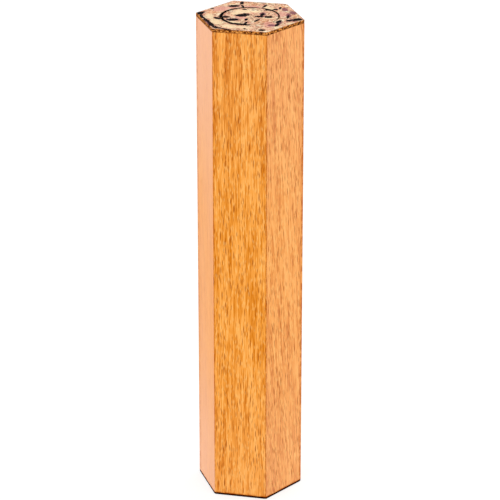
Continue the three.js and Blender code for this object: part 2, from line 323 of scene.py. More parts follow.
def makeMarble():
    material, tree, shader = newFinish("marbledSheet", **{"IOR": 1.2, "Specular IOR Level": 0.1})
    place = placeInMm(tree)
    warp = noiseOf(stretched(place, 3.1, 3.1, 3.1, (4, 9, 2)))
    bent = vectorCalc("MULTIPLY_ADD", joined(warp, 1 - warp, 0), (2.4,) * 3, place)
    ragged = noiseOf(stretched(place, 0.7, 0.62, 0.62, (5, 5, 5)), 3.0, 0.65)
    torn = ragged - 0.5

    def layer(under, value, low, high, most, name):
        return blended(ramped(value, low, high, 0.0, most), under, marble[name])

    def patch(under, name, over, width, most):
        # a drawn patch with a torn outline
        return layer(under, torn * width + attributeOf(tree, name), 0.3, 0.7, most, over)

    cloud = noiseOf(stretched(bent, 3.2, 2.4, 3, (1, 6, 0)), 5.0, 0.7)
    stops = zip((0.36, 0.46, 0.56, 0.68), (marble[name] for name in ("cream", "sand", "pink", "salmon")))
    colour = patch(colourRamp(cloud, *stops), "amber", "amber", 0.9, 0.75)
    pale = noiseOf(stretched(bent, 1.2, 0.9, 2, (7, 2, 9)), 3.0, 0.6)
    colour = layer(colour, pale, 0.55, 0.66, 0.9, "halo")
    # thin crooked veins and dark freckles, only where the stone is broken
    crack = noiseOf(stretched(bent, 1.7, 1.3, 2, (12, 3, 5)), 3.0, 0.65)
    thin = ramped(calc("ABSOLUTE", crack - 0.5), 0.03, 0.006)
    vein = thin * ramped(noiseOf(stretched(place, 4, 4, 4, (0, 30, 0)), 1.0), 0.42, 0.58)
    colour = blended(vein * 0.9, colour, marble["vein"])
    freckle = noiseOf(stretched(place, 0.55, 0.42, 0.5, (8, 1, 3)), 2.0, 0.6)
    gather = noiseOf(stretched(place, 3.2, 2.6, 3, (3, 17, 1)))
    freckles = ramped(freckle, 0.53, 0.61) * ramped(gather, 0.38, 0.52)
    colour = blended(freckles * 0.85, colour, marble["vein"])
    # a sandy grain all over, finer than the clouds
    grit = noiseOf(stretched(place, 0.8, 1.0, 0.8, (21, 4, 6)), 3.0, 0.7)
    colour = layer(colour, grit, 0.53, 0.66, 0.8, "grit")
    colour = layer(colour, grit, 0.48, 0.36, 0.6, "cream")
    streak = noiseOf(stretched(bent, 0.9, 2.2, 1.0, (14, 2, 3)), 3.0, 0.65)
    colour = layer(colour, streak, 0.54, 0.66, 0.7, "salmon")
    colour = patch(colour, "rose", "rose", 0.9, 0.7)
    colour = patch(colour, "pale", "halo", 1.1, 0.75)
    # drawn inclusions: a mauve stain round a black heart
    colour = patch(colour, "stain", "mauve", 0.9, 0.85)
    drawn = torn * 1.5 + attributeOf(tree, "ink")
    colour = layer(colour, drawn, 0.12, 0.32, 0.7, "mauve")
    black = ramped(drawn, 0.22, 0.36)
    colour = blended(black, colour, marble["ink"])
    # the cut edge: a dark crust full of golden grains
    cells = noiseOf(stretched(place, 0.72, 0.72, 0.5, (2, 2, 2)), 2.0, 0.7)
    stops = (0.37, marble["crustDark"]), (0.49, marble["crust"]), (0.62, marble["crustGrain"])
    edge = ramped(torn * 0.9 + attributeOf(tree, "rim"), 0.4, 0.6)
    colour = blended(edge, colour, colourRamp(cells, *stops))
    # painted shade: the joint round the plug and its walls darkened as a shaded gap
    colour = layer(colour, torn * 1.1 + attributeOf(tree, "ringStain"), 0.25, 0.5, 1.0, "ink")
    rub = useGroup(handling, Place=place, Amount=0.1)["Rub"]
    roughness = black * -0.1 + pale * 0.2 + 0.66 + rub
    setSurface(shader, colour, roughness, cells * 0.5 - (vein + black), 0.03 * mm, 0.5)
    return material


turnedWood = {"base": "dcb48a", "dark": "c99a6c", "light": "ead0ac", "fleck": "b8875a"}


def makeBeech():
    material, tree, shader = newFinish("sandedBeech", IOR=1.45)
    place = placeInMm(tree)
    tone = useGroup(woodFibre, Grain=place)["Tone"]
    pore = useGroup(openPores, Grain=place, CellWidth=0.34, CellLength=1.5, Share=0.75)["Pore"]
    stops = (0.32, turnedWood["dark"]), (0.5, turnedWood["base"]), (0.7, turnedWood["light"])
    colour = blended(pore * 0.5, colourRamp(tone, *stops), turnedWood["fleck"])
    rub = useGroup(handling, Place=place, Amount=0.12)["Rub"]
    setSurface(shader, colour, rub + pore * 0.1 + 0.58, tone - pore, 0.03 * mm)
    return material


def makeCork():
    material, tree, shader = newFinish("pressedCork", IOR=1.4)
    place = placeInMm(tree)
    inputs = {"Vector": stretched(place, 1.1, 1.1, 0.9), "Scale": 1.0}
    cells = addNode(tree, "ShaderNodeTexVoronoi", inputs)
    tint = split(Field(cells, "Color"))[0]
    seam = ramped(Field(cells, "Distance"), 0.5, 0.75)
    colour = colourRamp(tint, (0.1, "8f6238"), (0.5, "b98a58"), (0.9, "cfa674"))
    grit = noiseOf(stretched(place, 0.25, 0.25, 0.25), 3.0, 0.7)
    colour = blended(seam * 0.7, colour, "5b3a1f")
    setSurface(shader, colour, grit * 0.15 + 0.78, grit - seam * 1.5, 0.08 * mm, 0.8)
    return material


def makeRubber():
    material, tree, shader = newFinish("blackRubber", IOR=1.5)
    place = placeInMm(tree)
    rub, dust = useGroup(handling, Place=place, Amount=0.2).values()
    colour = colourRamp(dust * 2.0, (0.0, "1b1a1a"), (1.0, "6a665f"))
    setSurface(shader, colour, rub + 0.55, noiseOf(stretched(place, 0.2, 0.2, 0.2)), 0.01 * mm)
    return material


def makeParchment():
    fixed = {"Subsurface Weight": 0.08, "Subsurface Radius": (0.0006, 0.0004, 0.0002)}
    material, tree, shader = newFinish("scrapedParchment", IOR=1.45, **fixed)
    place = placeInMm(tree)
    mottle = noiseOf(stretched(place, 5, 5, 9), 4.0, 0.6, 0.4)
    colour = colourRamp(mottle, (0.3, "e0cb9c"), (0.52, "efe0ba"), (0.75, "f6ecd2"))
    hair = noiseOf(stretched(place, 0.16, 0.16, 0.5), 2.0, 0.6)
    colour = blended(ramped(hair, 0.62, 0.72, 0.0, 0.35), colour, "b99a68")
    colour = blended(ramped(attributeOf(tree, "cutEdge"), 0.4, 1.0, 0.0, 0.45), colour, "c7a873")
    setSurface(shader, colour, mottle * 0.2 + 0.55, hair + mottle, 0.03 * mm, 0.5)
    return material


def makeFilm():
    fixed = {"IOR": 1.47, "Transmission Weight": 1.0, "Base Color": paint("ffffff")}
    material, tree, shader = newFinish("clearFilm", **fixed)
    rub = useGroup(handling, Place=placeInMm(tree), Amount=0.12)["Rub"]
    feed(shader.inputs["Roughness"], calc("ABSOLUTE", rub) + 0.04)
    return material


def makeBrass():
    material, tree, shader = newFinish("satinBrass", Metallic=1.0)
    place = placeInMm(tree)
    tarnish = noiseOf(stretched(place, 3.5, 3.5, 4.5), 4.0, 0.6)
    colour = colourRamp(tarnish, (0.32, "a8702a"), (0.5, "d69c3e"), (0.75, "ecbc64"))
    brushed = noiseOf(stretched(place, 0.05, 0.05, 3.0), 2.0, 0.6)
    rub = useGroup(handling, Place=place, Amount=0.15)["Rub"]
    roughness = brushed * 0.14 + tarnish * 0.1 + 0.2 + rub
    setSurface(shader, colour, roughness, brushed, 0.006 * mm)
    return material


def makeLeatherboard():
    material, tree, shader = newFinish("darkLeatherboard", **{"IOR": 1.45, "Specular IOR Level": 0.01})
    place = placeInMm(tree)
    clumps = noiseOf(stretched(place, 0.9, 0.9, 0.3), 4.0, 0.7)
    colour = colourRamp(clumps, (0.36, "100000"), (0.54, "300500"), (0.68, "6c2002"))
    colour = blended(useGroup(handling, Place=place, Amount=0.25)["Dust"], colour, "8c5a34")
    setSurface(shader, colour, clumps * 0.2 + 0.66, clumps, 0.06 * mm, 0.8)
    return material


lacqueredOak = makeOak()
marbledSheet = makeMarble()
sandedBeech = makeBeech()
pressedCork = makeCork()
blackRubber = makeRubber()
scrapedParchment = makeParchment()
clearFilm = makeFilm()
satinBrass = makeBrass()
darkLeatherboard = makeLeatherboard()
print("finishes ready:", len(bpy.data.materials))


def linked(name, data):
    thing = bpy.data.objects.new(name, data)
    bpy.context.scene.collection.objects.link(thing)
    return thing


def meshOf(name, vertices, edges=(), faces=()):
    mesh = bpy.data.meshes.new(name)
    mesh.from_pydata([tuple(v) for v in vertices], edges, [tuple(f) for f in faces])
    return mesh


def addPiece(name, mesh, material, sharpAngle=35):
    if material is not None:
        mesh.materials.clear()
        mesh.materials.append(material)
    mesh.shade_smooth()
    mesh.set_sharp_from_angle(angle=math.radians(sharpAngle))
    mesh.update()
    return linked(name, mesh)


def bakedModifiers(piece, sharpAngle=35):
    # what the modifiers make, as a plain mesh on a new object of the same name
    name = piece.name
    graph = bpy.context.evaluated_depsgraph_get()
    mesh = bpy.data.meshes.new_from_object(piece.evaluated_get(graph), depsgraph=graph)
    bpy.data.objects.remove(piece)
    mesh.name = name
    # without the slivers that a cut leaves, or points in the middle of an edge, which make flaps
    sliver = 0.0008 * mm
    bm = bmesh.new()
    bm.from_mesh(mesh)
    bmesh.ops.remove_doubles(bm, verts=bm.verts, dist=sliver)
    bmesh.ops.dissolve_degenerate(bm, edges=bm.edges, dist=sliver)
    midway = [v for v in bm.verts if len(v.link_edges) == 2]
    bmesh.ops.dissolve_verts(bm, verts=midway)
    bm.to_mesh(mesh)
    bm.free()
    return addPiece(name, mesh, None, sharpAngle)


def setValues(piece, name, values):
    attribute = piece.data.attributes.new(name, "FLOAT", "POINT")
    attribute.data.foreach_set("value", np.asarray(values, np.float32))


def pointsOf(piece):
    flat = np.zeros(len(piece.data.vertices) * 3)
    piece.data.vertices.foreach_get("co", flat)
    return flat.reshape(-1, 3)


def anglesOf(steps):
    return np.arange(steps) * 2 * math.pi / steps


def ringOf(radius, z, steps):
    # points round Z; the radius is one value, or one for each point
    angles = anglesOf(steps)
    return np.column_stack([radius * np.cos(angles), radius * np.sin(angles), np.full(steps, z)])


def looped(rings, closed):
    # quads between rings of points; closed joins the last ring to the first
    count = len(rings[0])
    faces = []
    for at in range(len(rings) if closed else len(rings) - 1):
        here, there = at * count, (at + 1) % len(rings) * count
        for step in range(count):
            after = (step + 1) % count
            faces.append((here + step, here + after, there + after, there + step))
    return faces


def cappedMesh(name, rings, low, high):
    # rings round Z, lowest first, closed by a fan to a point on the axis at each end
    steps = len(rings[0])
    faces, top = looped(rings, closed=False), (len(rings) - 1) * steps
    vertices = [v for ring in rings for v in ring] + [(0, 0, low), (0, 0, high)]
    for step in range(steps):
        after = (step + 1) % steps
        faces.append((len(vertices) - 2, after, step))
        faces.append((len(vertices) - 1, top + step, top + after))
    return meshOf(name, vertices, faces=faces)


def softened(profile, radius, steps=3):
    # [r, z] points with each inner corner rounded; the first and last points stay
    points = [Vector(point) for point in profile]
    path = [points[0]]
    for before, corner, after in zip(points, points[1:], points[2:]):
        toBefore, toAfter = before - corner, after - corner
        reach = min(radius, toBefore.length * 0.45, toAfter.length * 0.45)
        start = corner + toBefore.normalized() * reach
        end = corner + toAfter.normalized() * reach
        for step in range(steps + 1):
            share = step / steps
            path.append(start.lerp(corner, share).lerp(corner.lerp(end, share), share))
    path.append(points[-1])
    return path


def filled(path, longest):
    # extra points so that no stretch is longer than the given length
    dense = [path[0]]
    for before, after in zip(path, path[1:]):
        count = max(1, math.ceil((after - before).length / longest))
        dense += [before.lerp(after, step / count) for step in range(1, count + 1)]
    return dense


def turnedPiece(name, profile, radius, material, steps, longest):
    # a profile from the axis round to the axis, lowest point first, turned about +Z
    path = filled(softened(profile, radius), longest)
    rings = [ringOf(point.x, point.y, steps) for point in path[1:-1]]
    return addPiece(name, cappedMesh(name, rings, path[0].y, path[-1].y), material)


def hexagonOutline(flatDistance, arris, perSide):
    # points round a hexagon with two flats square to Y, its corners cut off by the given radius
    halfSide = (flatDistance - arris) * math.tan(math.pi / 6)
    points = []
    for side in range(6):
        turn = Matrix.Rotation(math.pi / 3 * side, 2)
        for step in range(perSide):
            points.append(turn @ Vector((halfSide * (2 * step / perSide - 1), -flatDistance)))
    return np.array(points)


def hexagonPiece(name, size, material, wallSteps, faceSteps):
    # a hexagonal plate or block with a round hole, as one closed loop of a section round Z
    outer = hexagonOutline(size["flat"], size["arris"], size["perSide"])
    unit = outer / np.linalg.norm(outer, axis=1)[:, None]
    inner = unit * size["hole"]
    ease, low, high = size["ease"], size["low"], size["high"]
    rings = []

    def addRing(plan, z):
        rings.append(np.column_stack([plan, np.full(len(plan), z)]))

    def addWall(base, rising):
        heights = np.linspace(low + ease, high - ease, wallSteps + 1)
        for z in heights if rising else heights[::-1]:
            addRing(base, z)

    def addCorner(base, inward, z, towardZ, leaving):
        for turn in (30, 60) if leaving else (60, 30):
            inset = ease * (1 - math.cos(math.radians(turn)))
            rise = ease * (1 - math.sin(math.radians(turn)))
            addRing(base + inward * inset, z - towardZ * rise)

    def addFace(z, outward, steps):
        shares = np.linspace(0, 1, steps + 1)
        for share in shares if outward else shares[::-1]:
            addRing((inner + unit * ease) * (1 - share) + (outer - unit * ease) * share, z)

    addWall(inner, rising=True)
    addCorner(inner, unit, high, 1, leaving=True)
    addFace(high, True, faceSteps)
    addCorner(outer, -unit, high, 1, leaving=False)
    addWall(outer, rising=False)
    addCorner(outer, -unit, low, -1, leaving=True)
    addFace(low, False, 2)
    addCorner(inner, unit, low, -1, leaving=False)
    faces = [face[::-1] for face in looped(rings, closed=True)]
    return addPiece(name, meshOf(name, np.concatenate(rings), faces=faces), material)


def newTree(name, inputs):
    # a Geometry Nodes tree with a Geometry in and out
    inputs = {"Geometry": "Geometry"} | inputs
    return newGroup(name, "GeometryNodeTree", inputs, {"Geometry": "Geometry"})


def grown(name, mesh, tree, after=(), **values):
    # the plain mesh that a tree makes from a starting mesh, with the inputs given by name
    host = linked(name, mesh)
    nodes = host.modifiers.new("nodes", "NODES")
    nodes.node_group = tree
    items = [item for item in tree.interface.items_tree if item.in_out == "INPUT"]
    identifiers = {item.name: item.identifier for item in items}
    for label, value in values.items():
        nodes[identifiers[label]] = value
    for kind, settings in after:
        modifier = host.modifiers.new(kind.lower(), kind)
        for label, value in settings.items():
            setattr(modifier, label, value)
    return bakedModifiers(host)


def endTree(out, geometry, finish):
    tree = treeOf(geometry)
    whole = made(tree, "GeometryNodeRealizeInstances", {"Geometry": geometry})
    painted = made(tree, "GeometryNodeSetMaterial", {"Geometry": whole, "Material": finish})
    feed(out["Geometry"], painted)


def stored(geometry, name, value, kind="FLOAT"):
    inputs = {"Geometry": geometry, "Name": name, "Value": value}
    return made(treeOf(geometry), "GeometryNodeStoreNamedAttribute", inputs, data_type=kind, domain="POINT")


def finishPiece(piece, body, slot, *nodes):
    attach(piece, body)
    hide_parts(*nodes)
    print(piece.name, len(piece.data.polygons), "faces")


seatGap = 0.1 * mm                                             # clearance under what rests on a piece
gripGap = 0.06 * mm                                            # clearance round the grip ring
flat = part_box("top_facing")[1].y                               # from the middle to a flat
woodLow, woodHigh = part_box("stave_front")[0].z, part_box("stave_front")[1].z
hollow = -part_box("stave_front")[1].y
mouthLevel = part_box("plug_core")[0].z - seatGap
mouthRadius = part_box("plug_grip_ring")[1].x + gripGap


stave = {
    "columns": 100, "rows": 320,
    "arris": 0.32 * mm,                                        # rounding of the long outer edges
    "poreDepth": 0.03 * mm, "wave": 0.035 * mm,
    "footDarkening": 0.45 * mm,                                    # darker wood just above the base sheet
    "order": ["front", "front_right", "back_right", "back", "back_left", "front_left"],
    # painted sheen over its ends and over all of it, how open its pores are, how far the grain leans, and how
    # dark it is along its left and right arris, with how far in that reaches
    "usual": {"Blush": 0.1, "Paleness": 0.04, "Openness": 0.9, "Slant": 0.012,
              "LeftEdge": 0.4, "RightEdge": 0.5, "EdgeWidth": 1.2 * mm},
    "front": {"Blush": 0.06, "Paleness": 0.0, "Slant": 0.006,
              "LeftEdge": 0.55, "RightEdge": 0.6, "EdgeWidth": 0.55 * mm},
    "front_right": {"Blush": 0.12, "Paleness": 0.16, "Slant": 0.05,
                    "LeftEdge": 0.1, "RightEdge": 0.7, "EdgeWidth": 1.3 * mm},
    "front_left": {"Blush": 0.5, "Paleness": 0.26, "Openness": 0.14, "Slant": 0.01,
                   "LeftEdge": 0.34, "RightEdge": 0.0, "EdgeWidth": 2.6 * mm},
}


def staveOutline():
    # anticlockwise from above: the outer face, one mitre, the inner face, the other mitre
    slope, radius = math.tan(math.pi / 6), stave["arris"]
    tangentX = (flat - radius) * slope
    centre = Vector((tangentX, -flat + radius))
    right = []
    for step in range(1, 6):
        angle = math.radians(-90 + 26 * step / 5)
        right.append(centre + radius * Vector((math.cos(angle), math.sin(angle))))
    for depth in (flat - 0.35 * mm, flat - 0.9 * mm, flat - 3 * mm, hollow + 0.1 * mm):
        right.append(Vector((depth * slope, -depth)))
    inner = [Vector((x * (hollow * slope - 0.1 * mm), -hollow)) for x in (1, 0.5, 0, -0.5, -1)]
    left = [Vector((-point.x, point.y)) for point in reversed(right)]
    columns = stave["columns"]
    face = [Vector((tangentX * (2 * step / columns - 1), -flat)) for step in range(columns + 1)]
    return face + right + inner + left


def makeStaveTree():
    inputs = {"Low": 0.0, "High": 0.1, "Rows": 100, "Flat": 0.0, "HalfWidth": 0.0, "MouthRadius": 0.0,
              "MouthLevel": 0.0, "PoreDepth": 0.0, "Wave": 0.0, "Slant": 0.0, "Offset": (0.0, 0.0, 0.0),
              "Blush": 0.0, "Paleness": 0.0, "Turn": 0.0, "LeftEdge": 0.5, "RightEdge": 0.5,
              "EdgeWidth": 0.001, "Openness": 1.0, "FootStain": 0.0, "Pocketed": False,
              "Cutter": "Object", "Finish": "Material"}
    tree, given, out = newTree("mitredStave", inputs)
    low, high = given["Low"], given["High"]

    section = made(tree, "GeometryNodeMeshToCurve", {"Mesh": given["Geometry"]})
    ends = {"Start": joined(0, 0, low), "End": joined(0, 0, high)}
    line = made(tree, "GeometryNodeCurvePrimitiveLine", ends)
    path = made(tree, "GeometryNodeResampleCurve", {"Curve": line, "Count": given["Rows"]})
    sweep = {"Curve": path, "Profile Curve": section, "Fill Caps": True}
    swept = made(tree, "GeometryNodeCurveToMesh", sweep)

    # the grain runs up the stave, a little aslant; every stave is cut from another place in the tree
    x, y, z = split(made(tree, "GeometryNodeInputPosition"))
    grain = vectorCalc("ADD", joined(z * given["Slant"] + x, y, z), given["Offset"])
    grainInMm = inMm(grain)

    # pores and hand-sanded waves, on the outer face only and fading out at its edges
    beside = given["HalfWidth"] - calc("ABSOLUTE", x)
    behind = y + given["Flat"]
    fromEnds = calc("MINIMUM", z - low, high - z)
    onFace = ramped(behind, 0.02 * mm, 0.01 * mm) * ramped(beside, 0.2 * mm, 0.6 * mm)
    onFace = onFace * ramped(fromEnds, 0, 0.3 * mm)
    pore = porePattern(grainInMm, *oak["pores"].values())
    waves = noiseOf(stretched(grainInMm, 4.5, 4.5, 14.0, (6, 6, 6)))
    sunk = waves * given["Wave"] + pore * (given["PoreDepth"] * given["Openness"])
    sinking = {"Geometry": swept, "Offset": joined(0, sunk * onFace, 0)}
    shaped = made(tree, "GeometryNodeSetPosition", sinking)

    # the round mouth, and what is let into the back
    reach = 0.04
    bore = {"Vertices": 144, "Radius": given["MouthRadius"], "Depth": reach}
    drill = made(tree, "GeometryNodeMeshCylinder", bore)
    placing = {"Geometry": drill, "Translation": joined(0, 0, given["MouthLevel"] + reach / 2)}
    operands = {"Mesh 1": shaped, "Mesh 2": made(tree, "GeometryNodeTransform", placing)}
    cut = made(tree, "GeometryNodeMeshBoolean", operands, operation="DIFFERENCE", solver="MANIFOLD")
    pockets = made(tree, "GeometryNodeObjectInfo", {"Object": given["Cutter"]}, "Geometry")
    operands = {"Mesh 1": cut, "Mesh 2": pockets, "Self Intersection": True}
    hollowed = made(tree, "GeometryNodeMeshBoolean", operands, operation="DIFFERENCE", solver="EXACT")
    choice = {"Switch": given["Pocketed"], "False": cut, "True": hollowed}
    stock = made(tree, "GeometryNodeSwitch", choice, input_type="GEOMETRY")
    stock = stored(stock, "grain", grain, "FLOAT_VECTOR")

    # darker along the arrises, more on one side than the other, and at the foot
    left, right = given["LeftEdge"], given["RightEdge"]
    strength = ramped(x, -1 * mm, 1 * mm) * (right - left) + left
    near = ramped((beside + behind) / given["EdgeWidth"], 1.0, 0.3)
    foot = ramped(z - low, given["FootStain"], 0.0)
    stock = stored(stock, "arris", calc("MAXIMUM", near * strength, foot))
    stock = stored(stock, "openness", given["Openness"])
    # painted sheen, the white surroundings reflected in the lacquer: paler and pinker towards both ends, and
    # over the whole of some staves
    away = calc("ABSOLUTE", z - (low + high) * 0.48) / 0.08
    drift = noiseOf(stretched(grainInMm, 9, 9, 40, (2, 4, 8)), 1.0)
    sheenTowardEnds = ramped(away, 0.1, 1.0) + (drift - 0.5) * 0.5
    stock = stored(stock, "blush", given["Blush"] * sheenTowardEnds + given["Paleness"])
    turned = {"Geometry": stock, "Rotation": joined(0, 0, given["Turn"])}
    endTree(out, made(tree, "GeometryNodeTransform", turned), given["Finish"])
    return tree


def addBox(bm, low, high):
    sides = list(zip(low, high))
    points = [bm.verts.new((x, y, z)) for x in sides[0] for y in sides[1] for z in sides[2]]
    for face in ((0, 1, 3, 2), (4, 6, 7, 5), (0, 4, 5, 1), (2, 3, 7, 6), (0, 2, 6, 4), (1, 5, 7, 3)):
        bm.faces.new([points[i] for i in face])


def addUprightSlot(bm, radius, low, high, inside, outside, steps=24):
    # round-ended prism along Y between two heights
    outline = []
    for centre, first in ((high, 0), (low, math.pi)):
        for step in range(steps + 1):
            angle = first + math.pi * step / steps
            outline.append((radius * math.cos(angle), centre + radius * math.sin(angle)))
    near = [bm.verts.new((x, outside, z)) for x, z in outline]
    far = [bm.verts.new((x, inside, z)) for x, z in outline]
    bm.faces.new(near)
    bm.faces.new(far[::-1])
    for i in range(len(outline)):
        after = (i + 1) % len(outline)
        bm.faces.new((near[after], near[i], far[i], far[after]))


hanging = {
    "plates": {"keyhole_plate_upper": ["plate_screw_upper_1", "plate_screw_upper_2"],
               "keyhole_plate_lower": ["plate_screw_lower_1", "plate_screw_lower_2"]},
    "pocketGap": 0.15 * mm, "headPocketRadius": 3.7 * mm, "headPocketDepth": 2.6 * mm,
    "keyholeDrop": 2.7 * mm, "slotRise": 4.3 * mm,             # from the plate's centre
    "pilotRadius": 1.02 * mm, "pilotGap": 0.1 * mm,
    "overlap": 0.5 * mm,                                       # of one cut with the next
    "bevel": 0.12 * mm,
}


def pocketCutter():
    bm = bmesh.new()
    gap, overlap = hanging["pocketGap"], hanging["overlap"]
    for plateName, screwNames in hanging["plates"].items():
        low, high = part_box(plateName)
        floor = low.y - seatGap
        addBox(bm, (low.x - gap, floor, low.z - gap), (high.x + gap, flat + 1 * mm, high.z + gap))
        middle = (low.z + high.z) / 2
        bottom, top = middle - hanging["keyholeDrop"], middle + hanging["slotRise"]
        depth = floor - hanging["headPocketDepth"]
        addUprightSlot(bm, hanging["headPocketRadius"], bottom, top, depth, floor + overlap)
        for screwName in screwNames:
            tip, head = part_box(screwName)
            height, depth = (tip.z + head.z) / 2, tip.y - hanging["pilotGap"]
            addUprightSlot(bm, hanging["pilotRadius"], height, height + 1e-6, depth, floor + overlap, 12)
    bmesh.ops.recalc_face_normals(bm, faces=bm.faces)
    bm.transform(Matrix.Rotation(math.pi, 4, "Z"))     # a stave is cut before it is turned to its place
    mesh = bpy.data.meshes.new("pockets")
    bm.to_mesh(mesh)
    bm.free()
    return linked("pockets", mesh)


def makeStaves():
    tree, cutter, outline = makeStaveTree(), pocketCutter(), staveOutline()
    edges = [(at, (at + 1) % len(outline)) for at in range(len(outline))]
    section = meshOf("staveSection", [(*point, 0) for point in outline], edges)
    shared = {"Low": woodLow, "High": woodHigh, "Rows": stave["rows"], "Flat": flat,
              "HalfWidth": flat * math.tan(math.pi / 6), "MouthRadius": mouthRadius, "MouthLevel": mouthLevel,
              "PoreDepth": stave["poreDepth"], "Wave": stave["wave"], "FootStain": stave["footDarkening"],
              "Cutter": cutter, "Finish": lacqueredOak}
    for index, place in enumerate(stave["order"]):
        values = shared | stave["usual"] | stave.get(place, {})
        values |= {"Offset": (0.041 * index, 0.013 * index, 0.37 * index), "Turn": math.pi / 3 * index}
        values["Pocketed"] = place == "back"
        piece = grown("oakStave_" + place, section.copy(), tree, **values)
        finishPiece(piece, "case", "oak", "stave_" + place)
    bpy.data.objects.remove(cutter)


makeStaves()


facing = {
    "columns": 88, "ringSteps": 34,                            # points per side, and out from the mouth
    "arris": 0.35 * mm, "ease": 0.1 * mm, "wallSteps": 8,
    "crustDepth": 0.5 * mm,                                    # how far below the top the dark edge starts
    "ringWidth": 0.55,                                         # mm either side of the joint
    # how heavy the painted shade in the joint is, by degrees round it
    "jointShadeByAngle": [(0, 0.4), (25, 0.48), (45, 0.7), (62, 0.95), (75, 0.42), (100, 0.5), (120, 0.8), (150, 0.9),
                 (180, 1.0), (225, 0.95), (262, 1.0), (278, 0.45), (300, 0.1), (335, 0.12), (360, 0.4)],
    # dark inclusions in the sheet, in mm and degrees: x, y, length, width, turn
    "ink": [
        (-6.8, 8.6, 2.4, 1.4, 20), (-5.0, 12.0, 1.9, 0.8, 100), (-4.1, 8.9, 2.4, 0.5, 115),
        (-12.4, 4.9, 0.9, 0.6, 0), (-14.3, 0.8, 1.2, 0.9, 30), (-14.6, -0.6, 1.6, 1.0, 70),
        (-7.1, -2.2, 2.2, 1.3, 10), (-9.0, -3.8, 1.8, 1.0, -35), (-2.5, 0.3, 2.6, 1.8, 15),
        (-1.5, 1.8, 1.6, 0.8, -20), (2.8, 0.2, 2.0, 1.0, 0), (3.2, 2.2, 2.2, 0.8, 90),
        (5.4, 0.3, 1.6, 1.4, 0), (-4.2, -4.3, 2.6, 1.6, 20), (-0.4, -3.3, 1.6, 0.7, 90),
        (-1.5, -8.0, 4.5, 1.2, -5), (14.0, -0.4, 2.6, 1.6, 40), (9.2, -3.4, 2.2, 1.0, 80),
        (9.4, -6.5, 2.4, 0.7, 85), (11.9, -1.8, 1.2, 1.2, 0), (6.1, -12.2, 1.4, 1.2, 0),
        (1.0, -12.0, 0.8, 0.5, 90), (5.9, 7.9, 1.0, 1.0, 0), (7.0, 9.5, 1.6, 0.5, 95),
        (2.2, 10.3, 2.2, 0.6, 80), (4.1, 6.9, 1.6, 0.9, 10), (10.9, 1.6, 2.4, 0.5, 97),
        (0.2, -6.8, 2.0, 0.6, 90), (2.8, -3.5, 2.2, 0.6, 70), (-2.9, 6.0, 1.0, 0.7, 0),
    ],
    # patches of other stone, given the same way
    "stain": [(11.5, 5.8, 3.0, 1.6, 110), (7.9, -7.2, 2.2, 1.8, 0), (10.8, 3.0, 3.4, 1.3, 100),
              (9.6, -5, 4, 1.2, 80), (-4.4, -4.2, 3.6, 2.2, 20), (3.2, 2.6, 1.6, 3.2, 10),
              (-10.5, -8.4, 5, 1.1, -62), (12.4, -1.6, 2.4, 1.6, 0), (-1.0, 8.4, 3.0, 0.7, 5),
              (8.6, 8.4, 1.6, 3.0, 20)],
    "rose": [(-9.8, 5.2, 5.0, 4.0, 60), (1.2, -10.6, 4.2, 1.6, 0), (-6.4, 8.0, 5.0, 2.0, 30),
             (8.6, 3.6, 3.0, 4.6, 0), (7.2, -6.8, 3.0, 5.0, 20), (-1.0, 9.0, 5.0, 1.6, 0),
             (-2.4, -2.0, 3.0, 2.4, 0)],
    "amber": [(4.8, -4.2, 4.6, 4.0, 20), (-2.6, 11.6, 5.0, 2.6, 0), (-11.6, 1.6, 3.4, 4.0, 0),
              (7.6, 10.4, 4.0, 1.4, -50), (-8.2, 10.2, 3.0, 1.4, 50), (12.6, 2.6, 1.4, 4.0, 20)],
    "pale": [(-3.0, 4.2, 4.6, 3.0, 0), (0.6, -10.8, 5.0, 2.0, 0), (-11.4, -2.6, 2.0, 5.0, 25),
             (-8.4, -7.4, 3.0, 4.6, 40), (-3.4, -10.6, 5.0, 2.2, -10), (5.6, -0.8, 3.4, 1.2, 0),
             (-4.6, 1.8, 2.6, 2.4, 0), (4.0, 8.8, 3.4, 2.0, -30), (-3.6, -6.6, 4.4, 1.6, -20),
             (10.0, -9.8, 1.4, 3.0, 20), (1.0, 4.6, 3.6, 1.8, 10), (12.6, -4.4, 2.4, 1.2, 50),
             (-7.6, 10.0, 1.6, 1.0, 0)],
    # a dark vein along the left front edge: x, y, width
    "vein": [(-15.4, 0.2, 1.5), (-14.2, -1.6, 0.9), (-13.7, -3.4, 1.2), (-12.3, -5.0, 0.7),
             (-11.6, -6.4, 1.4), (-10.2, -8.2, 0.9), (-9.4, -9.8, 1.6), (-8.4, -11.4, 1.0),
             (-7.0, -12.6, 1.6), (-5.8, -12.9, 0.7), (-4.4, -13.4, 1.1), (-2.8, -13.5, 0.5)],
}


def blotCover(plan, blots):
    # most inside an inclusion, falling to 0 over its own half width outside it
    cover = np.zeros(len(plan))
    for x, y, length, width, turn in blots:
        angle = math.radians(turn)
        away = plan - (x, y)
        along = away @ (math.cos(angle), math.sin(angle)) / (length / 2)
        across = away @ (-math.sin(angle), math.cos(angle)) / (width / 2)
        cover = np.maximum(cover, np.clip(1.3 - 0.7 * np.hypot(along, across), 0, 0.85))
    return cover


def veinCover(plan, points):
    cover = np.zeros(len(plan))
    for (x0, y0, width0), (x1, y1, width1) in zip(points, points[1:]):
        start, run = np.array((x0, y0)), np.array((x1 - x0, y1 - y0))
        share = np.clip((plan - start) @ run / (run @ run), 0, 1)
        away = np.linalg.norm(plan - start - share[:, None] * run, axis=1)
        half = (width0 + (width1 - width0) * share) / 2
        cover = np.maximum(cover, np.clip(0.9 - 0.6 * away / half, 0, 0.5))
    return cover


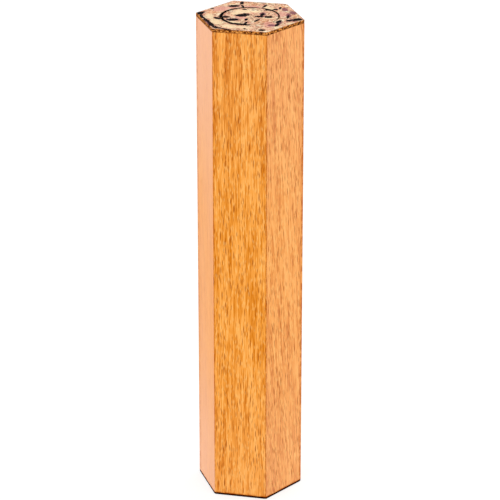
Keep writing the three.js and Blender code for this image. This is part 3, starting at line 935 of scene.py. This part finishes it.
def paintSheet(piece, edgeDepth):
    plan = pointsOf(piece)[:, :2] / mm
    setValues(piece, "ink", np.maximum(blotCover(plan, facing["ink"]), veinCover(plan, facing["vein"])))
    for name in ("stain", "rose", "amber", "pale"):
        setValues(piece, name, blotCover(plan, facing[name]))
    # painted shade in and beside the joint round the plug, most of it on the left
    angle = np.degrees(np.arctan2(plan[:, 1], plan[:, 0])) % 360
    shadeAmount = np.interp(angle, *zip(*facing["jointShadeByAngle"]))
    away = np.abs(np.linalg.norm(plan, axis=1) - (mouthRadius / mm - 0.18))
    setValues(piece, "ringStain", np.clip(1.3 - away / facing["ringWidth"], 0, 1) * shadeAmount)
    setValues(piece, "rim", np.clip((edgeDepth + 0.4 * mm) / (0.5 * mm), 0, 1))


def hexagonDepth(points, flatDistance):
    # how far outside (+) or inside (-) the outline of a hexagon each point is
    turns = [math.pi / 3 * side for side in range(6)]
    reaches = [points[:, 0] * math.sin(turn) + points[:, 1] * math.cos(turn) for turn in turns]
    return np.max(reaches, axis=0) - flatDistance


def makeFacing():
    low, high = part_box("top_facing")
    size = {"flat": flat, "arris": facing["arris"], "perSide": facing["columns"], "hole": mouthRadius,
            "ease": facing["ease"], "low": low.z, "high": high.z}
    ring = hexagonPiece("marbledFacing", size, marbledSheet, facing["wallSteps"], facing["ringSteps"])
    points = pointsOf(ring)
    radius = np.linalg.norm(points[:, :2], axis=1)
    wall = np.minimum(mouthRadius - radius, high.z - points[:, 2] - facing["crustDepth"])
    paintSheet(ring, np.maximum(hexagonDepth(points, flat), wall))
    finishPiece(ring, "case", "marbled_sheet", "top_facing")

    low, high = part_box("plug_facing")
    profile = [(0, low.z), (high.x, low.z), (high.x, high.z), (0, high.z)]
    disc = turnedPiece("marbledPlugFacing", profile, facing["ease"], marbledSheet, 288, 0.16 * mm)
    points = pointsOf(disc)
    outside = np.linalg.norm(points[:, :2], axis=1) - high.x
    paintSheet(disc, np.minimum(outside, high.z - points[:, 2] - facing["crustDepth"]))
    finishPiece(disc, "plug", "marbled_sheet", "plug_facing")


makeFacing()


plug = {
    "edge": 0.3 * mm, "corner": 0.12 * mm, "steps": 180, "longest": 0.3 * mm,
    "markPitch": 0.62 * mm, "markDepth": 0.008 * mm,           # lathe marks round the side
    "gripRadius": 0.6 * mm, "seam": 0.03 * mm, "wobble": 0.012 * mm, "gripSteps": 20, "gripTurnSteps": 200,
}


def makePlug():
    low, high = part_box("plug_core")
    ringLow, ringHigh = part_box("plug_grip_ring")
    ringMiddle = (ringLow.z + ringHigh.z) / 2
    grooveLow, grooveHigh = (ringMiddle + side * (plug["gripRadius"] + gripGap) for side in (-1, 1))
    grooveFloor = ringHigh.x - 2 * plug["gripRadius"] - gripGap
    edge = high.x
    profile = [(0, low.z), (edge - plug["edge"], low.z), (edge, low.z + plug["edge"]),
               (edge, grooveLow), (grooveFloor, grooveLow), (grooveFloor, grooveHigh), (edge, grooveHigh),
               (edge, high.z), (0, high.z)]
    core = turnedPiece("beechPlug", profile, plug["corner"], sandedBeech, plug["steps"], plug["longest"])
    points = pointsOf(core)
    radius = np.linalg.norm(points[:, :2], axis=1)
    marks = (np.sin(points[:, 2] * 2 * math.pi / plug["markPitch"]) + 1) * plug["markDepth"]
    side = (radius > edge - 1e-5) & (points[:, 2] > low.z + plug["edge"])
    points[:, :2] *= np.where(side, 1 - marks / np.maximum(radius, 1e-6), 1)[:, None]
    core.data.vertices.foreach_set("co", points.ravel())
    finishPiece(core, "plug", "beech", "plug_core")

    turns = anglesOf(plug["gripTurnSteps"])
    wobble = plug["wobble"] * np.sin(turns * 7 + 1) * np.sin(turns * 3)
    rings = []
    for angle in anglesOf(plug["gripSteps"]):
        seam = plug["seam"] * math.exp(-(angle - math.pi) ** 2 / 0.02)        # mould line, inside the ring
        reach = plug["gripRadius"] + seam
        out = ringHigh.x - plug["gripRadius"] + reach * math.cos(angle) + wobble
        rings.append(ringOf(out, ringMiddle + reach * math.sin(angle), len(turns)))
    mesh = meshOf("rubberGripRing", np.concatenate(rings), faces=looped(rings, closed=True))
    finishPiece(addPiece("rubberGripRing", mesh, blackRubber), "plug", "black_rubber", "plug_grip_ring")


makePlug()


def makeRoughTree():
    # sinks a surface by grains of a given size, in mm, and never lifts it
    inputs = {"Grain": 0.5, "Depth": 0.0, "Finish": "Material"}
    tree, given, out = newTree("roughened", inputs)
    cells = scaled(made(tree, "GeometryNodeInputPosition"), 1 / mm / given["Grain"])
    rise = (noiseOf(cells, 3.0, 0.65) - 0.86) * given["Depth"]
    offset = scaled(made(tree, "GeometryNodeInputNormal"), rise)
    moved = made(tree, "GeometryNodeSetPosition", {"Geometry": given["Geometry"], "Offset": offset})
    endTree(out, moved, given["Finish"])
    return tree


roughTree = makeRoughTree()


def roughened(piece, material, grain, depth):
    name, mesh = piece.name, piece.data
    bpy.data.objects.remove(piece)
    return grown(name, mesh, roughTree, Grain=grain, Depth=depth, Finish=material)


base = {
    "arris": 0.35 * mm, "hole": 3.2 * mm,
    "padEase": 0.12 * mm, "padColumns": 40, "padGrain": 0.6, "padDepth": 0.06 * mm,      # grains in mm
    "blockEase": 0.25 * mm, "blockColumns": 24,
    "corkCorner": 0.45 * mm, "corkGrain": 0.7, "corkDepth": 0.16 * mm,
}


def makeBase():
    low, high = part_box("base_pad")
    size = {"flat": flat, "arris": base["arris"], "perSide": base["padColumns"], "hole": base["hole"],
            "ease": base["padEase"], "low": low.z, "high": high.z}
    pad = hexagonPiece("baseSheet", size, darkLeatherboard, 3, 30)
    pad = roughened(pad, darkLeatherboard, base["padGrain"], base["padDepth"])
    finishPiece(pad, "case", "dark_pad", "base_pad")
    low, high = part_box("bottom_block")
    size |= {"flat": high.y, "perSide": base["blockColumns"], "ease": base["blockEase"]}
    size |= {"low": low.z, "high": high.z}
    finishPiece(hexagonPiece("bottomBlock", size, sandedBeech, 24, 12), "case", "beech", "bottom_block")

    low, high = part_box("lifter_disc")
    profile = [(0, low.z), (high.x, low.z), (high.x, high.z), (0, high.z)]
    disc = turnedPiece("corkLifter", profile, base["corkCorner"], pressedCork, 144, 0.28 * mm)
    disc = roughened(disc, pressedCork, base["corkGrain"], base["corkDepth"])
    finishPiece(disc, "scroll", "cork", "lifter_disc")


makeBase()


scroll = {
    "thickness": 0.3 * mm, "coreRadius": 3.0 * mm, "sheetLength": 120 * mm,
    "columns": 520, "rows": 60, "cockle": 0.035 * mm, "cutWave": 0.12 * mm,
    "rollGap": 0.3 * mm,                                       # from the sheet's middle to the sleeve
    "sleeveWall": 0.2 * mm, "sleeveEase": 0.06 * mm, "sleeveSteps": 144,
    "flattening": 0.05 * mm,                                   # the sleeve isn't quite round
}


def makeSpiralTree():
    # a grid rolled up round Z: its X runs along the sheet from the inner end, its Y up it
    inputs = {"CoreRadius": 0.0, "EdgeRadius": 0.0, "Turns": 1.0, "Low": 0.0, "High": 0.0, "Columns": 100,
              "Rows": 10, "Cockle": 0.0, "CutWave": 0.0, "Finish": "Material"}
    tree, given, out = newTree("rolledSheet", inputs)
    size = {"Size X": 1.0, "Size Y": 1.0, "Vertices X": given["Columns"], "Vertices Y": given["Rows"]}
    grid = made(tree, "GeometryNodeMeshGrid", size)
    x, y, _ = split(made(tree, "GeometryNodeInputPosition"))
    along, up = x + 0.5, y + 0.5
    angle = along * (given["Turns"] * (2 * math.pi))
    where = joined(along * 16, up * 9, 0)
    cockle = (noiseOf(where) - 0.5) * given["Cockle"]
    radius = cockle + (along * (given["EdgeRadius"] - given["CoreRadius"]) + given["CoreRadius"])
    # the knife wandered a little at the top and bottom edges
    knife = noiseOf(vectorCalc("MULTIPLY", where, (2.5, 0.02, 1)))
    height = up * (given["High"] - given["Low"]) + given["Low"]
    z = knife * ((1 - up * 2) * given["CutWave"]) + height
    rolled = joined(radius * calc("COSINE", angle), radius * calc("SINE", angle), z)
    marked = stored(grid, "cutEdge", ramped(calc("ABSOLUTE", y) * 2, 0.985, 1.0))
    rolling = made(tree, "GeometryNodeSetPosition", {"Geometry": marked, "Position": rolled})
    endTree(out, rolling, given["Finish"])
    return tree


def makeScroll():
    low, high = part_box("parchment_scroll")
    sleeveLow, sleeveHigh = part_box("scroll_sleeve")
    inside, core = sleeveHigh.x - scroll["sleeveWall"], scroll["coreRadius"]
    edgeRadius = inside - scroll["rollGap"]
    pitch = math.pi * (edgeRadius ** 2 - core ** 2) / scroll["sheetLength"]
    values = {"CoreRadius": core, "EdgeRadius": edgeRadius, "Low": low.z, "High": high.z,
              "Turns": (edgeRadius - core) / pitch, "Columns": scroll["columns"], "Rows": scroll["rows"],
              "Cockle": scroll["cockle"], "CutWave": scroll["cutWave"], "Finish": scrapedParchment}
    thick = ("SOLIDIFY", {"thickness": scroll["thickness"], "offset": 0})
    sheet = grown("parchmentRoll", bpy.data.meshes.new("sheet"), makeSpiralTree(), after=[thick], **values)
    finishPiece(sheet, "scroll", "parchment", "parchment_scroll")

    ease, steps = scroll["sleeveEase"], scroll["sleeveSteps"]
    corners = [(inside + ease, sleeveLow.z), (sleeveHigh.x, sleeveLow.z), (sleeveHigh.x, sleeveHigh.z),
               (inside, sleeveHigh.z), (inside, sleeveLow.z), (inside + ease, sleeveLow.z)]
    section = softened(corners, ease)[:-1]
    section = filled(section + section[:1], 5 * mm)[:-1]
    squash = scroll["flattening"] * (1 - np.cos(2 * anglesOf(steps))) / 2
    rings = [ringOf(point.x - squash, point.y, steps) for point in section]
    mesh = meshOf("filmSleeve", np.concatenate(rings), faces=looped(rings, closed=True))
    finishPiece(addPiece("filmSleeve", mesh, clearFilm), "scroll", "clear_film", "scroll_sleeve")


makeScroll()


def makePlates():
    for plateName in hanging["plates"]:
        bm = bmesh.new()
        bm.from_mesh(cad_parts[plateName].data)
        bmesh.ops.remove_doubles(bm, verts=bm.verts, dist=1e-6)
        bmesh.ops.dissolve_limit(bm, angle_limit=math.radians(2), verts=bm.verts, edges=bm.edges)
        mesh = bpy.data.meshes.new(plateName)
        bm.to_mesh(mesh)
        bm.free()
        piece = linked("brassPlate_" + plateName.split("_")[-1], mesh)
        bevel = piece.modifiers.new("bevel", "BEVEL")
        bevel.width, bevel.segments, bevel.limit_method = hanging["bevel"], 3, "ANGLE"
        bevel.angle_limit = math.radians(40)
        piece = bakedModifiers(piece, 50)
        piece.data.materials.clear()
        piece.data.materials.append(satinBrass)
        finishPiece(piece, "case", "brass", plateName)


screw = {
    "headRadius": 1.9 * mm, "headHeight": 0.9 * mm, "rim": 0.08 * mm, "shank": 0.95 * mm, "root": 0.72 * mm,
    "threadPitch": 0.75 * mm, "length": 4.4 * mm, "tipLength": 1.3 * mm, "fadeIn": 0.5 * mm,
    "slotWidth": 0.5 * mm, "slotDepth": 0.4 * mm, "steps": 40,
}


def screwShape():
    # head at z = 0 and point at -length, the thread a ridge that climbs as it turns
    steps, length, rim = screw["steps"], screw["length"], screw["rim"]
    head, shank, root = screw["headRadius"], screw["shank"], screw["root"]
    rings = [ringOf(0.985 * head, 0.0, steps), ringOf(head, -0.03 * mm, steps), ringOf(head, -rim, steps)]
    for share in (0.25, 0.5, 0.75, 1.0):
        z = -rim - (screw["headHeight"] - rim) * share
        rings.append(ringOf(shank + (head - shank) * (1 - share) ** 1.1, z, steps))
    threadTop = screw["headHeight"] + 0.1 * mm
    for depth in np.arange(threadTop, length, screw["threadPitch"] / 8):
        turn = (depth / screw["threadPitch"] + anglesOf(steps) / (2 * math.pi)) % 1
        ridge = np.clip(1 - np.abs(turn - 0.5) / 0.32, 0, 1)
        taper = min(1, max(0.12, (length - depth) / screw["tipLength"]))
        fade = min(1, (depth - threadTop) / screw["fadeIn"])
        radius = (root + (shank - root) * (ridge * fade + 1 - fade)) * taper
        rings.append(ringOf(radius, -depth, steps))
    return cappedMesh("screwShape", rings[::-1], -length, 0)


def makeScrewTree():
    inputs = {"Screw": "Object", "SlotWidth": 0.0, "SlotDepth": 0.0, "Length": 0.0, "Seed": 0,
              "Finish": "Material"}
    tree, given, out = newTree("screwSet", inputs)
    shape = made(tree, "GeometryNodeObjectInfo", {"Object": given["Screw"]}, "Geometry")
    size = joined(given["Length"], given["SlotWidth"], given["SlotDepth"] * 2)
    operands = {"Mesh 1": shape, "Mesh 2": made(tree, "GeometryNodeMeshCube", {"Size": size})}
    slotted = made(tree, "GeometryNodeMeshBoolean", operands, operation="DIFFERENCE", solver="EXACT")
    points = made(tree, "GeometryNodeMeshToPoints", {"Mesh": given["Geometry"]})
    # each screw stopped at its own angle; -90 degrees about X points its head out of the back
    turn = addNode(tree, "FunctionNodeRandomValue", data_type="FLOAT")
    for socket in turn.inputs:
        if socket.enabled and socket.name in ("Min", "Max"):
            socket.default_value = {"Min": 0.2, "Max": 2.9}[socket.name]
    feed(next(socket for socket in turn.inputs if socket.name == "Seed"), given["Seed"])
    stopped = next(at for at, socket in enumerate(turn.outputs) if socket.enabled)
    spun = made(tree, "FunctionNodeEulerToRotation", {0: joined(0, 0, Field(turn, stopped))})
    facingOut = made(tree, "FunctionNodeEulerToRotation", {0: (-math.pi / 2, 0, 0)})
    turning = {"Rotation": facingOut, "Rotate By": spun}
    rotation = made(tree, "FunctionNodeRotateRotation", turning, rotation_space="LOCAL")
    placing = {"Points": points, "Instance": slotted, "Rotation": rotation}
    endTree(out, made(tree, "GeometryNodeInstanceOnPoints", placing), given["Finish"])
    return tree


def makeScrews():
    names = [name for pair in hanging["plates"].values() for name in pair]
    boxes = [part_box(name) for name in names]
    places = [((low.x + high.x) / 2, high.y, (low.z + high.z) / 2) for low, high in boxes]
    shape = linked("screwShape", screwShape())
    values = {"Screw": shape, "SlotWidth": screw["slotWidth"], "SlotDepth": screw["slotDepth"],
              "Length": 2.2 * screw["headRadius"], "Seed": 4, "Finish": satinBrass}
    screws = grown("slottedScrews", meshOf("screwPlaces", places), makeScrewTree(), **values)
    bpy.data.objects.remove(shape)
    finishPiece(screws, "case", "brass", *names)


makePlates()
makeScrews()


studio = {
    "azimuth": 12.293, "elevation": 22.748,                    # degrees, from the front towards +X and up
    "reach": 0.7633, "aimHeight": 0.07652, "lens": 182.6, "sensor": 36,      # m, m, mm, mm
    "lampPlace": (0.55, 1.1, 0.8), "lampAim": (0, 0, 0.08), "lampSize": 0.5, "lampPower": 3.0,
    "floorReach": 6, "floorGrey": 0.34, "floorGlow": 0.72,     # a white panel lit a little from below
}


def aimed(thing, place, target):
    thing.location = place
    thing.rotation_euler = (Vector(target) - place).to_track_quat("-Z", "Y").to_euler()


def makeStudio():
    azimuth, elevation = math.radians(studio["azimuth"]), math.radians(studio["elevation"])
    data = bpy.data.cameras.new("camera")
    data.lens, data.sensor_width = studio["lens"], studio["sensor"]
    data.clip_start, data.clip_end = 0.05, 50
    camera, target = linked("camera", data), Vector((0, 0, studio["aimHeight"]))
    level = math.cos(elevation)
    back = Vector((math.sin(azimuth) * level, -math.cos(azimuth) * level, math.sin(elevation)))
    aimed(camera, target + back * studio["reach"], target)
    bpy.context.scene.camera = camera

    # a soft lamp high up behind, for the brass and the back
    data = bpy.data.lights.new("softbox", "AREA")
    data.shape, data.size, data.energy = "SQUARE", studio["lampSize"], studio["lampPower"]
    aimed(linked("softbox", data), Vector(studio["lampPlace"]), studio["lampAim"])

    fixed = {"Roughness": 0.8, "Specular IOR Level": 0.1, "Base Color": (*[studio["floorGrey"]] * 3, 1)}
    fixed |= {"Emission Strength": studio["floorGlow"], "Emission Color": (1, 1, 1, 1)}
    far = studio["floorReach"]
    corners = [(-far, -far, 0), (far, -far, 0), (far, far, 0), (-far, far, 0)]
    panel = meshOf("floor", corners, faces=[(0, 1, 2, 3)])
    addPiece("floor", panel, newFinish("paleFloor", **fixed)[0])

    world = bpy.data.worlds.new("studio")
    world.use_nodes = True
    world.node_tree.nodes["Background"].inputs["Color"].default_value = (1, 1, 1, 1)
    world.node_tree.nodes["Background"].inputs["Strength"].default_value = 1.0
    bpy.context.scene.world = world
    bpy.context.scene.view_settings.view_transform = "Standard"
    print("studio ready")


makeStudio()
